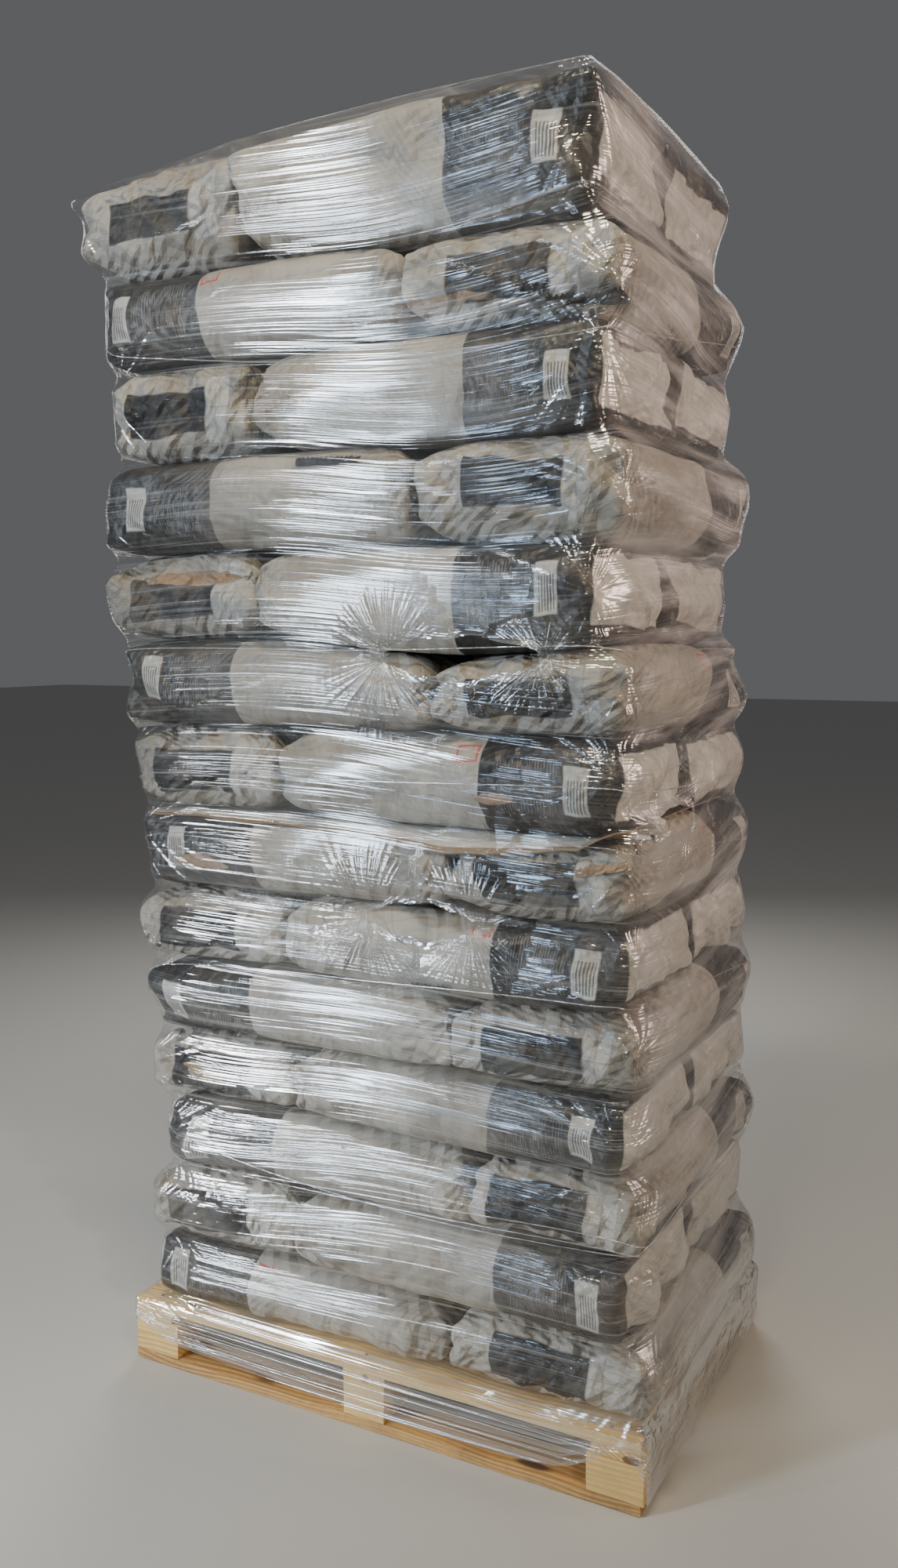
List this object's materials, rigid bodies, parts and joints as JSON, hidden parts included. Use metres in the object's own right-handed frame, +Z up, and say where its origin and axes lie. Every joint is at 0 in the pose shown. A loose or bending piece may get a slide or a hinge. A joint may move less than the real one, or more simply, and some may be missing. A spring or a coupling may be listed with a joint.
{
  "type": "pallet of sacks",
  "caption": "Tall load of filled paper sacks in crossed layers under clear stretch film, on a light timber block pallet with fork pockets on all sides.",
  "frame": {"origin": "on the floor under the middle of the pallet, on the centre skid's underside", "axes": "+Z up; +X along the pallet's 1200 mm side; +Y along its 800 mm side, away from the long face that the picture shows"},
  "size_m": [1.2678, 0.8076, 2.6014],
  "materials": {
    "sack_paper": "creased bleached sack paper with a printed charcoal-black end band",
    "pallet_wood": "rough sawn pale pine",
    "skid_wood": "rough sawn pine, darker and dirty along the floor",
    "kraft_sheet": "brown kraft paper, creased",
    "stretch_film": "clear glossy stretch film with horizontal stretch lines"
  },
  "bodies": {
    "root": {"block_left_back": "pallet_wood", "block_left_centre": "pallet_wood", "block_left_front": "pallet_wood", "block_middle_back": "pallet_wood", "block_middle_centre": "pallet_wood", "block_middle_front": "pallet_wood", "block_right_back": "pallet_wood", "block_right_centre": "pallet_wood", "block_right_front": "pallet_wood", "cross_board_left": "pallet_wood", "cross_board_middle": "pallet_wood", "cross_board_right": "pallet_wood", "deck_boards": "pallet_wood", "sack_layer01_back": "sack_paper", "sack_layer01_cross": "sack_paper", "sack_layer01_front": "sack_paper", "sack_layer02_back": "sack_paper", "sack_layer02_cross": "sack_paper", "sack_layer02_front": "sack_paper", "sack_layer03_back": "sack_paper", "sack_layer03_cross": "sack_paper", "sack_layer03_front": "sack_paper", "sack_layer04_back": "sack_paper", "sack_layer04_cross": "sack_paper", "sack_layer04_front": "sack_paper", "sack_layer05_back": "sack_paper", "sack_layer05_cross": "sack_paper", "sack_layer05_front": "sack_paper", "sack_layer06_back": "sack_paper", "sack_layer06_cross": "sack_paper", "sack_layer06_front": "sack_paper", "sack_layer07_back": "sack_paper", "sack_layer07_cross": "sack_paper", "sack_layer07_front": "sack_paper", "sack_layer08_back": "sack_paper", "sack_layer08_cross": "sack_paper", "sack_layer08_front": "sack_paper", "sack_layer09_back": "sack_paper", "sack_layer09_cross": "sack_paper", "sack_layer09_front": "sack_paper", "sack_layer10_back": "sack_paper", "sack_layer10_cross": "sack_paper", "sack_layer10_front": "sack_paper", "sack_layer11_back": "sack_paper", "sack_layer11_cross": "sack_paper", "sack_layer11_front": "sack_paper", "sack_layer12_back": "sack_paper", "sack_layer12_cross": "sack_paper", "sack_layer12_front": "sack_paper", "sack_layer13_back": "sack_paper", "sack_layer13_cross": "sack_paper", "sack_layer13_front": "sack_paper", "sack_layer14_back": "sack_paper", "sack_layer14_cross": "sack_paper", "sack_layer14_front": "sack_paper", "skid_back": "skid_wood", "skid_centre": "skid_wood", "skid_front": "skid_wood", "slip_sheet": "kraft_sheet", "stretch_film": "stretch_film"}
  },
  "joints": []
}
